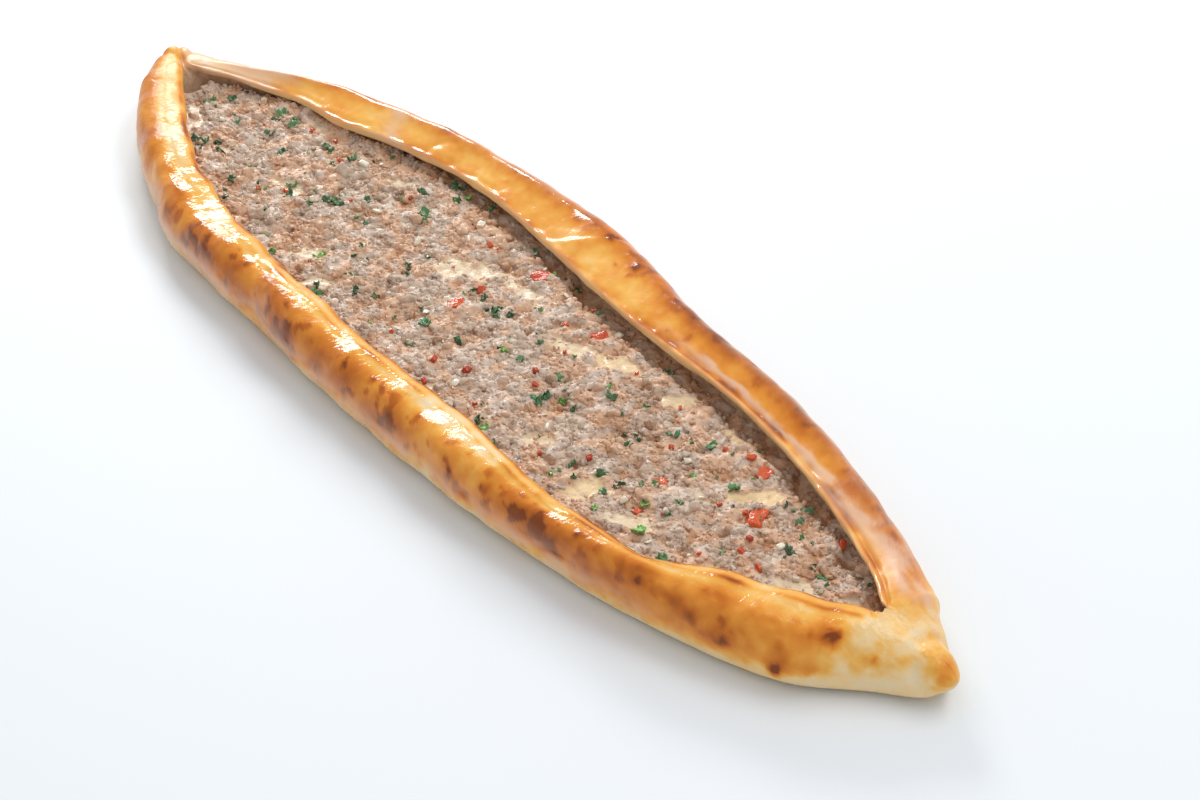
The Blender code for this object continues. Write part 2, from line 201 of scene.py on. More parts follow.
def turbulence(points, scale, seed, octaves=1):
    """Soft noise about 0 at each point, whose lumps are about scale across."""
    offset = Vector((seed * 7.31, seed * 3.17, seed * 5.77))
    total, strength, fineness = np.zeros(len(points)), 1.0, 1.0 / scale
    for _ in range(octaves):
        total += strength * np.array([noise.noise(Vector(point) * fineness + offset) for point in points])
        strength, fineness = strength / 2, fineness * 2.1
    return total


def cells(points, scale, seed):
    """Rounded bumps about scale across with creases between them, from 0 in a crease to 1 on a bump."""
    offset = Vector((seed * 5.13, seed * 2.91, seed * 4.37))
    apart = np.array([noise.voronoi(Vector(point) / scale + offset)[0][0] for point in points])
    return np.sqrt(clamp(1 - (apart / 0.8) ** 2))


def wandering(points, reach, scale, seed):
    """The points shifted about by soft noise, to make an outline ragged."""
    return points + reach * np.stack([turbulence(points, scale, seed + k, 2) for k in range(3)], 1)


def select_only(piece):
    bpy.ops.object.select_all(action="DESELECT")
    piece.select_set(True)
    bpy.context.view_layer.objects.active = piece


@contextmanager
def editing(piece, action="SELECT"):
    """Edit mode on a piece, with all of its mesh selected or deselected."""
    select_only(piece)
    bpy.ops.object.mode_set(mode="EDIT")
    bpy.ops.mesh.select_all(action=action)
    yield
    bpy.ops.object.mode_set(mode="OBJECT")


def close_mesh():
    """Fills the open ends of the mesh being edited and turns its faces outward."""
    bpy.ops.mesh.select_all(action="SELECT")
    bpy.ops.mesh.fill_holes(sides=0)
    bpy.ops.mesh.select_all(action="SELECT")
    bpy.ops.mesh.normals_make_consistent(inside=False)


def add_shape(primitive, **settings):
    """A new piece from one of Blender's primitives."""
    bpy.ops.object.select_all(action="DESELECT")
    primitive(**settings)
    return bpy.context.object


def apply_modifier(piece, kind, **settings):
    """Adds a modifier of this kind with these settings to a piece, and applies it."""
    select_only(piece)
    modifier = piece.modifiers.new(kind.lower(), kind)
    for name, value in settings.items():
        setattr(modifier, name, value)
    bpy.ops.object.modifier_apply(modifier=modifier.name)


def points_of(piece):
    found = np.empty(len(piece.data.vertices) * 3, np.float32)
    piece.data.vertices.foreach_get("co", found)
    return found.reshape(-1, 3).astype(float)


def normals_of(piece):
    found = np.empty(len(piece.data.vertices) * 3, np.float32)
    piece.data.vertex_normals.foreach_get("vector", found)
    return found.reshape(-1, 3).astype(float)


def move_points(piece, points):
    piece.data.vertices.foreach_set("co", points.astype(np.float32).ravel())
    piece.data.update()


def read_attribute(piece, name):
    found = np.empty(len(piece.data.vertices), np.float32)
    piece.data.attributes[name].data.foreach_get("value", found)
    return found.astype(float)


def write_attribute(piece, name, values):
    known = piece.data.attributes.get(name) or piece.data.attributes.new(name, "FLOAT", "POINT")
    known.data.foreach_set("value", np.asarray(values, np.float32))


def mesh_piece(name, points, faces):
    """A piece from arrays of its points and of its faces, which all have equally many corners."""
    data = bpy.data.meshes.new(name)
    data.vertices.add(len(points))
    data.vertices.foreach_set("co", np.asarray(points, np.float32).ravel())
    data.loops.add(faces.size)
    data.loops.foreach_set("vertex_index", faces.ravel())
    data.polygons.add(len(faces))
    data.polygons.foreach_set("loop_start", np.arange(len(faces)) * faces.shape[1])
    data.update(calc_edges=True)
    data.validate()
    piece = bpy.data.objects.new(name, data)
    bpy.context.scene.collection.objects.link(piece)
    return piece


def finish_piece(piece, material, slot, *nodes):
    """Gives a finished piece its material and shading, and ties it to the frame."""
    piece.data.shade_smooth()
    piece.data.materials.clear()
    piece.data.materials.append(material)
    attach(piece, "root")
    if nodes:
        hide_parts(*nodes)


# ---------------------------------------------------------------------------------------------- materials


def link(tree, source, target):
    tree.links.new(source, target)


def add_node(tree, kind, **settings):
    made = tree.nodes.new(kind)
    for name, value in settings.items():
        setattr(made, name, value)
    return made


def maths(tree, operation, first, second=0.0, third=None):
    """A Math node on sockets or plain numbers, and its output."""
    made = add_node(tree, "ShaderNodeMath", operation=operation)
    for socket, value in zip(made.inputs, (first, second, third)):
        if value is None:
            continue
        if isinstance(value, bpy.types.NodeSocket):
            link(tree, value, socket)
        else:
            socket.default_value = value
    return made.outputs[0]


def unit(tree, value):
    """Clamps a value to 0 to 1."""
    return maths(tree, "MINIMUM", maths(tree, "MAXIMUM", value, 0.0), 1.0)


def mix_colours(tree, share, first, second):
    made = add_node(tree, "ShaderNodeMix", data_type="RGBA")
    for socket, value in ((made.inputs[0], share), (made.inputs[6], first), (made.inputs[7], second)):
        if isinstance(value, bpy.types.NodeSocket):
            link(tree, value, socket)
        elif socket.type == "RGBA":
            socket.default_value = (*value[:3], 1.0)
        else:
            socket.default_value = value
    return made.outputs[2]


def ramp(tree, value, stops):
    """A Color Ramp through stops, each a place and a colour."""
    made = add_node(tree, "ShaderNodeValToRGB")
    elements = made.color_ramp.elements
    while len(elements) > 1:
        elements.remove(elements[-1])
    elements[0].position, elements[0].color = stops[0][0], (*stops[0][1], 1.0)
    for place, colour in stops[1:]:
        elements.new(place).color = (*colour, 1.0)
    link(tree, value, made.inputs[0])
    return made.outputs[0]


def noise_node(tree, place, scale, detail=2.0, roughness=0.5, distortion=0.0):
    made = add_node(tree, "ShaderNodeTexNoise")
    made.inputs["Scale"].default_value = scale
    made.inputs["Detail"].default_value = detail
    made.inputs["Roughness"].default_value = roughness
    made.inputs["Distortion"].default_value = distortion
    link(tree, place, made.inputs["Vector"])
    return made.outputs["Fac"]


def object_place(tree, stretch=(1, 1, 1)):
    """Object coordinates, scaled along each axis."""
    place = add_node(tree, "ShaderNodeTexCoord").outputs["Object"]
    if tuple(stretch) == (1, 1, 1):
        return place
    mapping = add_node(tree, "ShaderNodeMapping")
    mapping.inputs["Scale"].default_value = stretch
    link(tree, place, mapping.inputs["Vector"])
    return mapping.outputs[0]


def attribute(tree, name):
    return add_node(tree, "ShaderNodeAttribute", attribute_name=name).outputs["Fac"]


def bump(tree, height, distance):
    made = add_node(tree, "ShaderNodeBump")
    made.inputs["Strength"].default_value = 1.0
    made.inputs["Distance"].default_value = distance
    link(tree, height, made.inputs["Height"])
    return made.outputs["Normal"]


def new_material(name, **constants):
    """A material with a Principled BSDF whose sockets hold these constants."""
    made = bpy.data.materials.new(name)
    made.use_nodes = True
    shader = made.node_tree.nodes["Principled BSDF"]
    for socket, value in constants.items():
        shader.inputs[socket.replace("_", " ")].default_value = value
    return made, made.node_tree, shader


def new_group(name, inputs, outputs):
    """A node group whose sockets are these names, each with its kind, and its inner ends."""
    group = bpy.data.node_groups.new(name, "ShaderNodeTree")
    for way, sockets in (("INPUT", inputs), ("OUTPUT", outputs)):
        for socket, kind in sockets.items():
            group.interface.new_socket(socket, in_out=way, socket_type=f"NodeSocket{kind}")
    return group, add_node(group, "NodeGroupInput").outputs, add_node(group, "NodeGroupOutput").inputs


def grain_group():
    """Noise of two finenesses in one value about 0.5, used by every crumbly or baked surface."""
    known = bpy.data.node_groups.get("Grain")
    if known:
        return known
    sockets = {"Vector": "Vector", "Coarse": "Float", "Fine": "Float", "Share": "Float"}
    group, inside, outside = new_group("Grain", sockets, {"Value": "Float"})
    blended = add_node(group, "ShaderNodeMix", data_type="FLOAT")
    link(group, inside["Share"], blended.inputs[0])
    for socket, end in (("Coarse", blended.inputs[2]), ("Fine", blended.inputs[3])):
        level = add_node(group, "ShaderNodeTexNoise")
        level.inputs["Detail"].default_value = 2.0
        link(group, inside["Vector"], level.inputs["Vector"])
        link(group, inside[socket], level.inputs["Scale"])
        link(group, level.outputs["Fac"], end)
    link(group, blended.outputs[0], outside["Value"])
    return group


def grain(tree, place, coarse, fine, share=0.35):
    made = add_node(tree, "ShaderNodeGroup", node_tree=grain_group())
    made.inputs["Coarse"].default_value = coarse
    made.inputs["Fine"].default_value = fine
    made.inputs["Share"].default_value = share
    link(tree, place, made.inputs["Vector"])
    return made.outputs["Value"]


# ---------------------------------------------------------------------------------------------- the crust


def rim_chain(section, side, count):
    """The first points of one rim in a section, from its foot on."""
    here = max(section, key=lambda vertex: FOOT_SLOPE * side * vertex.co.y - vertex.co.z)
    chain = [here]
    while len(chain) < count:
        beside = [edge.other_vert(here) for edge in here.link_edges]
        onward = [other for other in beside if other in section and other not in chain]
        if len(chain) == 1:
            here = max(onward, key=lambda other: side * other.co.y)
        else:
            here = min(onward, key=lambda other: (other.co - here.co).length)
        chain.append(here)
    return np.array([vertex.co[1:] for vertex in chain], float)


def evenly_along(chain, count):
    """Points evenly spaced along a chain, without its ends."""
    steps = np.concatenate([[0], np.cumsum(np.linalg.norm(np.diff(chain, axis=0), axis=1))])
    places = np.linspace(0, steps[-1], count + 2)[1:-1]
    return np.stack([np.interp(places, steps, chain[:, k]) for k in (0, 1)], 1)


def crust_rings(node):
    """The crust solid's cross-sections from back to front, as an array of rings of points.

    A ring runs along the underside from the narrow foot to the broad one, over the broad rim, along the
    floor of the hollow, and back over the narrow rim. Past the hollow's ends, the crests are counted from
    the feet, and the dough between them is shared out evenly.
    """
    mesh = bmesh.new()
    mesh.from_mesh(node.data)
    bmesh.ops.remove_doubles(mesh, verts=mesh.verts, dist=1e-6)
    sections = {}
    for vertex in mesh.verts:
        if len(vertex.link_edges) < POLE_EDGES:
            sections.setdefault(round(vertex.co.x, 5), []).append(vertex)
    rings = []
    for x in sorted(sections):
        if HOLLOW_BACK < x < HOLLOW_FRONT:
            broad, narrow = (rim_chain(sections[x], side, RIM_POINTS) for side in (BROAD, NARROW))
        else:
            broad, narrow = (rim_chain(sections[x], side, int(CREST) + 1) for side in (BROAD, NARROW))
            low, high = narrow[-1], broad[-1]
            over = [v.co[1:] for v in sections[x] if low[0] < v.co.y < high[0] and v.co.z > 0.6 * low[1]]
            over = np.array([high, *sorted(over, reverse=True), low])
            top = evenly_along(over, 2 * (RIM_POINTS - len(broad)))
            half = len(top) // 2
            broad = np.concatenate([broad, top[:half]])
            narrow = np.concatenate([narrow, top[: half - 1 : -1]])
        floor = evenly_along(np.stack([broad[-1], narrow[-1]]), FLOOR_POINTS)
        under = evenly_along(np.stack([narrow[0], broad[0]]), UNDERSIDE_POINTS)
        ring = np.concatenate([under, broad, floor, narrow[::-1]])
        rings.append(np.column_stack([np.full(len(ring), x), ring]))
    mesh.free()
    return np.array(rings)


def rim_place(side, across):
    """Where in a ring a point of a rim is."""
    return UNDERSIDE_POINTS + across if side == BROAD else -1 - across


def place_in_ring():
    """For each point of a ring, its side and how far round its rim it lies."""
    rim = np.arange(RIM_POINTS, dtype=float)
    side = np.repeat([0, BROAD, BROAD, NARROW, NARROW], [UNDERSIDE_POINTS, RIM_POINTS, 1, 1, RIM_POINTS])
    below = np.array([-1, -2, -1])
    return side, np.concatenate([below, rim, np.full(FLOOR_POINTS, RIM_POINTS), rim[::-1]])


def crust_mesh():
    """A finer copy of the crust's solid, with the attributes side and across on its points."""
    rings = crust_rings(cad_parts["crust"])
    count, size = rings.shape[:2]
    index = np.arange(count * size).reshape(count, size)
    after = np.roll(index, -1, axis=1)
    quads = np.stack([index[:-1], after[:-1], after[1:], index[1:]], -1).reshape(-1, 4)
    piece = mesh_piece("baked_crust", rings.reshape(-1, 3), quads)
    side, across = place_in_ring()
    write_attribute(piece, "side", np.tile(side, count))
    write_attribute(piece, "across", np.tile(across, count))
    with editing(piece):
        close_mesh()
    apply_modifier(piece, "SUBSURF", levels=1, render_levels=1)
    cut_long_edges(piece, LONGEST_EDGE)
    round_front(piece)
    apply_modifier(piece, "SUBSURF", levels=1, render_levels=1)
    return piece


def round_front(piece):
    """Rounds the blunt front tip, where the two crests meet."""
    with editing(piece, "DESELECT"):
        bpy.ops.mesh.select_mode(type="VERT")
    for vertex in piece.data.vertices:
        vertex.select = vertex.co.x > FRONT_ROUNDED and vertex.co.z > 4 * MM
    bpy.ops.object.mode_set(mode="EDIT")
    bpy.ops.mesh.vertices_smooth(factor=0.5, repeat=90)
    bpy.ops.object.mode_set(mode="OBJECT")


def cut_long_edges(piece, longest):
    """Halves every quad that is longer than this along X."""
    points = points_of(piece)
    with editing(piece, "DESELECT"):
        bpy.ops.mesh.select_mode(type="EDGE")
    for edge in piece.data.edges:
        first, second = (points[corner] for corner in edge.vertices)
        edge.select = bool(abs(first[0] - second[0]) > longest)
    bpy.ops.object.mode_set(mode="EDIT")
    bpy.ops.mesh.subdivide(number_cuts=1)
    bpy.ops.object.mode_set(mode="OBJECT")


def closed_share(points):
    """0 along the hollow, rising to 1 past its ends, where the two rims are one."""
    return smooth(-2 * MM, 2 * MM, np.maximum(HOLLOW_BACK - points[:, 0], points[:, 0] - HOLLOW_FRONT))


def blister_strengths(points):
    """How much of a blister is at each point, and how darkly it is baked there."""
    raised, dark = np.zeros(len(points)), np.zeros(len(points))
    ragged = wandering(points, 1.3 * MM, 3 * MM, 5)
    for *middle, radius, depth in BLISTERS:
        middle, radius = np.array(middle) * MM, radius * MM
        apart = np.linalg.norm(ragged - middle, axis=1) / radius
        dark += depth * (0.75 * bell(apart, 0, 0.72) + 0.25 * bell(apart, 0, 1.5))
        apart = np.linalg.norm(points - middle, axis=1) / radius
        raised += bell(apart, 0, 0.8) * min(1.0, radius / (3 * MM))
    return raised, dark


def patch_strengths(points):
    """How much more, or less, colour each point took in the oven."""
    total = np.zeros(len(points))
    wander = wandering(points, 4 * MM, 14 * MM, 11)
    for *middle, along, around, amount in PATCHES:
        offset = (wander - np.array(middle) * MM) / MM
        reach = (offset[:, 0] / along) ** 2 + (offset[:, 1] ** 2 + offset[:, 2] ** 2) / around**2
        total += amount * np.exp(-reach)
    return total


def crease(points, side, across):
    """The fold's overlapping edge on the broad rim, from 0 to 1: a step that runs slantwise over its top."""
    beyond = points[:, 0] + 22 * MM - 1.1 * (points[:, 1] - 42 * MM)
    step = smooth(-0.8 * MM, 0.8 * MM, beyond) * np.exp(-np.maximum(beyond, 0) / (9 * MM))
    on_top = (side > 0) * smooth(CREST - 2.5, CREST - 0.5, across) * fading(LIP_TOP, LIP_NOSE, across)
    return step * on_top


def shape_crust(piece):
    """Gives the crust its uneven dough, blisters, bead and fold, and returns how dark the blisters are."""
    points, normals = points_of(piece), normals_of(piece)
    side, across = read_attribute(piece, "side"), read_attribute(piece, "across")
    closed = closed_share(points)
    broad, narrow = (side > 0) * (1 - closed), (side < 0) * (1 - closed)
    raised, dark = blister_strengths(points)
    height = np.where(side > 0, WAVES, WAVES + NARROW_WAVES * (1 - closed)) * turbulence(points, 27 * MM, 1)
    height += DENTS * turbulence(points, 13 * MM, 2) + RIPPLES * turbulence(points, 5 * MM, 3, 2)
    height += BLISTER_RISE * raised
    height *= np.where(side > 0, 0.5 + 0.5 * closed, 1.0)
    front = smooth(0.0, 0.06, points[:, 0])
    bead = BEAD_RISE * bell(across, BEAD, 0.6) - GROOVE_DEPTH * bell(across, GROOVE - 0.1, 0.7)
    height += bead * broad * (0.75 + front + (0.8 + 1.3 * front) * turbulence(points, 5.5 * MM, 27))
    height += (FLAT_RISE * bell(across, 6.0, 1.1) - FLAT_DEPTH * bell(across, 8.6, 1.1)) * narrow
    height += FOLD_STEP * crease(points, side, across)
    for *middle, radius, rise in BULGES:
        apart = np.linalg.norm(points - np.array(middle) * MM, axis=1) / (radius * MM)
        height += rise * MM * (np.exp(-(apart**3)) - 0.4 * bell(apart, 1.3, 0.25))
    height *= fading(*ENDS_KEPT, abs(points[:, 0]))
    outside = smooth(0.5, 2.5, across) * np.maximum(fading(LIP_UNDER, LIP_UNDER + 1, across), closed)
    move_points(piece, points + normals * ((height - SETTLING) * outside)[:, None])
    return dark


def above_pale(points, side, wander, fine):
    """How many millimetres each point is above a wavy line, below which the underside stays pale."""
    station = points[:, 0]
    line = np.where(side < 0, 3.2 + 1.0 * np.sin(station / (31 * MM)), 3.5)
    line += 1.6 * smooth(0.02, 0.10, station) + 3.0 * smooth(0.13, 0.21, station)
    return points[:, 2] / MM + 1.8 * wander + 1.2 * fine - line


def shoulder_share(side, across):
    """1 on a rim's browned shoulder, between its waist and its crest."""
    narrow = smooth(WAIST - 1, WAIST + 1, across) * fading(CREST - 1.5, CREST + 1, across)
    broad = smooth(WAIST + 1, WAIST + 3.5, across) * fading(CREST - 0.5, CREST + 2, across)
    return np.where(side < 0, narrow, broad)


def narrow_bake(station, shoulder):
    """How brown the narrow rim is, apart from its blisters and specks."""
    side_bake = NARROW_SHOULDER_BAKE - 0.05 * smooth(0.04, 0.10, station)
    return NARROW_BAKE + 0.04 * smooth(0.06, 0.12, station) + side_bake * shoulder


def broad_bake(station, side, across, shoulder, opened, wander):
    """How brown the broad rim is: more so to the front, on its outer face and in its groove."""
    change = 0.10 * smooth(0.0, 0.06, station) * fading(0.18, 0.20, station)
    change -= 0.05 * smooth(0.10, 0.14, station) * shoulder
    change += 0.13 * fading(5, 7, across) * fading(-0.05, 0.15, station)
    change -= 0.14 * opened * smooth(13.2, 13.9, across) * smooth(0.02, 0.06, station)
    groove = opened * bell(across + 0.8 * wander, GROOVE, 0.5) * (0.8 + 1.1 * wander)
    change += 0.28 * groove * smooth(0.02, 0.07, station) * fading(0.175, 0.195, station)
    bake = BROAD_BAKE + 0.03 * smooth(CREST, CREST + 2, across) + BROAD_SHOULDER_BAKE * shoulder
    return bake + change * (side > 0)


def speckles(points, side, shoulder, pad):
    """Small browned specks, thickest on the shoulders."""
    station, narrow = points[:, 0], side < 0
    specks = np.where(narrow, 0.22, 0.13) * smooth(0.22, 0.46, turbulence(points, 5.5 * MM, 24, 2))
    specks *= (0.25 + 0.75 * shoulder * (1 - pad)) * (0.3 + 0.7 * smooth(-0.15, -0.09, station))
    return specks * (1 - 0.65 * narrow * smooth(0.10, 0.14, station))


def painted_sheen_share(station, side, across, opened, stroke):
    """How much painted sheen lies on the crust: a pale pinkish reflection of the bright surroundings, painted
    into its colour.

    On the broad rim it lies in a band along the lip that widens to the front, in a slanting stripe, at the
    back end, on the shoulder and on the bead, and on the narrow rim low on its outer face.
    """
    middle, breadth = 12.1 - 3.6 * smooth(0.145, 0.200, station), 0.6 + 0.8 * smooth(0.10, 0.18, station)
    band = bell(across + 0.9 * stroke, middle, breadth)
    band *= smooth(0.035, 0.09, station) * fading(0.193, 0.202, station)
    stripe = bell(station - 0.0013 * (across - 11), -0.124, 0.005) * smooth(CREST - 2, CREST, across)
    end = fading(-0.190, -0.168, station + 0.0016 * (across - 11)) * smooth(5, 7, across)
    shoulder = bell(across + 0.8 * stroke, 6.5, 1.4) * (0.4 + 0.6 * stroke)
    shoulder *= fading(-0.05, -0.02, station) + smooth(0.04, 0.08, station)
    broad = (band + 0.6 * stripe + 0.75 * end) * (0.80 + 0.8 * stroke) + shoulder
    broad += 0.35 * opened * bell(across, BEAD + 0.2, 0.7)
    narrow = bell(across + 0.8 * stroke, WAIST, 1.3) * (0.75 + 0.9 * stroke)
    narrow *= (1 - 0.4 * smooth(-0.13, -0.04, station)) * fading(0.10, 0.19, station)
    return clamp((side > 0) * broad + (side < 0) * narrow, 0, THICKEST_PAINTED_SHEEN)


def bake_crust(piece, dark):
    """Writes on the crust how brown, washed with egg, soaked and grained it is, and how much painted sheen, a
    pale reflection of the bright surroundings, lies on its colour.
    """
    points = points_of(piece)
    side, across = read_attribute(piece, "side"), read_attribute(piece, "across")
    station, narrow, opened = points[:, 0], side < 0, 1 - closed_share(points)
    wander, fine = turbulence(points, 13 * MM, 21, 2), turbulence(points, 4 * MM, 22, 3)
    stroke = turbulence(points * (0.4, 1.0, 1.0), 4 * MM, 26, 3)
    above, shoulder = above_pale(points, side, wander, fine), shoulder_share(side, across)
    pad = smooth(0.193, 0.207, station + 6 * MM * wander)
    pocket = opened * smooth(LIP_UNDER - 0.5, LIP_UNDER + 1, across)

    bake = broad_bake(station, side, across, shoulder, opened, wander)
    bake = np.where(narrow, narrow_bake(station, shoulder), bake)
    bake = bake * (1 - pad) + TIP_BAKE * pad + 0.13 * wander + (0.07 + 0.05 * pad) * fine
    bake += 0.12 * narrow * shoulder * turbulence(points, 8 * MM, 28, 2)
    bake += speckles(points, side, shoulder, pad) + patch_strengths(points)
    lip_line = opened * bell(across, LIP_TOP + 0.6, 0.7) * (0.8 + 0.8 * wander)
    bake += np.where(narrow, NARROW_LIP_BAKE, BROAD_LIP_BAKE) * lip_line
    edge_line = narrow * opened * bell(across, INNER_EDGE, 0.7) * (0.8 + 1.4 * wander)
    bake += 0.26 * edge_line * smooth(-0.12, -0.04, station)
    under_lip = opened * smooth(LIP_TOP + 0.6, LIP_NOSE, across)
    bake += (np.where(narrow, NARROW_UNDER_LIP_BAKE, BROAD_UNDER_LIP_BAKE) - bake) * under_lip
    pale = UNDERSIDE_BAKE + 0.09 * fine + 0.07 * wander
    bake = pale + (bake + dark - pale) * smooth(-2.2, 2.6, above)

    wash = smooth(-0.5, 2.5, above) * (1 - pocket)
    wash *= 1 - 0.5 * smooth(0.196, 0.214, station)
    wash *= 1 - 0.5 * (side > 0) * smooth(0.10, 0.17, station) * fading(12.8, 13.6, across)
    wash *= 1 - 0.6 * fading(-0.20, -0.14, station)
    wash *= 0.75 + 0.25 * smooth(-0.20, 0.12, turbulence(points, 15 * MM, 25))
    write_attribute(piece, "bake", clamp(bake))
    write_attribute(piece, "wash", clamp(wash))
    write_attribute(piece, "soaked", pocket)
    # Painted sheen: pale pinkish reflections of the bright surroundings, painted into the colour
    write_attribute(piece, "film", painted_sheen_share(station, side, across, opened, stroke))
    write_attribute(piece, "grained", np.where(narrow, 1.0, 1.0 - 0.7 * opened) + 0.8 * pad)


def crust_material(colours, wash_roughness):
    """Baked dough under egg wash, from pale cream to dark blisters."""
    made, tree, shader = new_material("Baked dough", IOR=1.34)
    place = object_place(tree)
    mottle = grain(tree, place, 380.0, 1500.0)
    bake = maths(tree, "MULTIPLY_ADD", mottle, 0.09, attribute(tree, "bake"))
    bake = maths(tree, "SUBTRACT", bake, 0.045)
    colour = ramp(tree, bake, tuple(zip(BAKE_STOPS, colours)))
    # Painted sheen: a pale pinkish reflection of the bright surroundings, mixed into the colour
    colour = mix_colours(tree, attribute(tree, "film"), colour, PAINTED_SHEEN_COLOUR)
    soaked = ramp(tree, mottle, ((0.35, SOAKED_DARK), (0.62, SOAKED_LIGHT)))
    colour = mix_colours(tree, attribute(tree, "soaked"), colour, soaked)
    link(tree, colour, shader.inputs["Base Color"])
    streaks = noise_node(tree, object_place(tree, (1.5, 0.55, 0.55)), 330.0, 3.0, 0.6, 0.6)
    wash = maths(tree, "MULTIPLY", attribute(tree, "wash"), maths(tree, "MULTIPLY_ADD", streaks, 1.2, 0.4))
    wash = maths(tree, "MINIMUM", wash, 1.0)
    roughness = maths(tree, "MULTIPLY_ADD", wash, wash_roughness - DRY_ROUGHNESS, DRY_ROUGHNESS)
    link(tree, roughness, shader.inputs["Roughness"])
    skin = maths(tree, "MULTIPLY_ADD", noise_node(tree, place, 190.0, 2.0), 2.5, streaks)
    skin = maths(tree, "MULTIPLY_ADD", noise_node(tree, place, 750.0, 1.0), 0.7, skin)
    skin = maths(tree, "MULTIPLY_ADD", mottle, 0.3, skin)
    skin = maths(tree, "MULTIPLY", skin, attribute(tree, "grained"))
    link(tree, bump(tree, skin, 0.14 * MM), shader.inputs["Normal"])
    return made


# ---------------------------------------------------------------------------------------------- the filling


def opening_lines():
    """X of the crust's sections, and Y of the hollow's walls and of the lips over them, from its solid."""
    rings = crust_rings(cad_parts["crust"])
    lines = {"x": rings[:, 0, 0]}
    for name, side in (("broad", BROAD), ("narrow", NARROW)):
        lines[name] = rings[:, rim_place(side, int(WALL)), 1]
        lines[f"{name}_lip"] = rings[:, rim_place(side, int(LIP_NOSE)), 1]
    return lines


LINES = opening_lines()


def line_at(name, x):
    """Y of one of these lines at each X."""
    return np.interp(x, LINES["x"], LINES[name])


def bareness(points):
    """How bare of mince the filling is at each point, and how yellow it is there."""
    bare, yellow = np.zeros(len(points)), np.zeros(len(points))
    ragged = wandering(points, 4 * MM, 6 * MM, 31)
    for *middle, length, width, turn, tint in BARE_PLACES:
        offset = ragged[:, :2] - np.array(middle) * MM
        angle = math.radians(turn)
        along = offset[:, 0] * math.cos(angle) + offset[:, 1] * math.sin(angle)
        over = offset[:, 1] * math.cos(angle) - offset[:, 0] * math.sin(angle)
        reach = (1.75 * along / (length * MM)) ** 2 + (1.75 * over / (width * MM)) ** 2
        bare = np.maximum(bare, 0.95 * fading(0.3, 1.6, reach))
        yellow = np.maximum(yellow, tint * fading(0.6, 2.4, reach))
    smears = smooth(0.30, 0.62, turbulence(ragged, 8 * MM, 35))
    return np.maximum(bare, 0.6 * smears), yellow


def beside_dice(points):
    """1 where a large dice of pepper lies, falling to 0 around it."""
    share = np.zeros(len(points))
    for low, high in DICE_BOXES:
        middle, half = (low + high) / 2, (high - low) / 2
        beyond = np.linalg.norm((points[:, :2] - middle[:2]) / half[:2], axis=1)
        share = np.maximum(share, fading(0.6, 1.0, beyond))
    return share


def sunken_share(points):
    """1 where the mince has sunk away under the broad lip, falling to 0 towards the middle."""
    flat = points * (1, 1, 0)
    from_lip = line_at("broad_lip", flat[:, 0]) - flat[:, 1] + 2.5 * MM * turbulence(flat, 9 * MM, 48)
    share = fading(-1 * MM, 5 * MM, from_lip) * smooth(-0.17, 0.03, flat[:, 0])
    return share * (1 - 0.5 * smooth(0.13, 0.17, flat[:, 0]))


def bed_surface(points, lumps):
    """Height of the mince's uneven top at each point, whose Z isn't used, and its painted light and shade
    there: lighter on lumps and crumbs, darker in pits and where it sinks under the broad lip.
    """
    flat = points * (1, 1, 0)
    bare, _ = bareness(flat)
    sunken = sunken_share(flat)
    lump = turbulence(flat, 11 * MM, 41) + 0.5 * turbulence(flat, 5 * MM, 42)
    crumb = cells(wandering(flat, 1.4 * MM, 3 * MM, 45) * (1, 1, 0), 3.9 * MM, 43)
    grain_bump = cells(wandering(flat, 0.5 * MM, 1.2 * MM, 47), 1.5 * MM, 44)
    relief = 1.5 * lump + 1.45 * (crumb - 0.65) + 0.45 * (grain_bump - 0.6)
    level = BED_LEVEL + BACK_RISE * smooth(0.06, 0.18, -flat[:, 0]) + lumps * relief * (1 - 0.75 * bare)
    level -= BARE_DEPTH * bare + DICE_DEPTH * beside_dice(flat) + SUNKEN_DEPTH * sunken
    # Painted shade in the pits between crumbs and where the mince sinks under the broad lip, and painted
    # light on lumps, crumbs and grains, all from the relief
    painted_pit_shade = fading(0.10, 0.42, crumb) * (1 - bare)
    light = 0.40 * lump + 0.42 * (crumb - 0.6) + 0.22 * (grain_bump - 0.6)
    return level, light - 0.28 * painted_pit_shade - 0.34 * sunken


def lie_on_bed(places, lumps, above):
    """Sets the places this far above the mince."""
    places[:, 2] = bed_surface(places, lumps)[0] + above


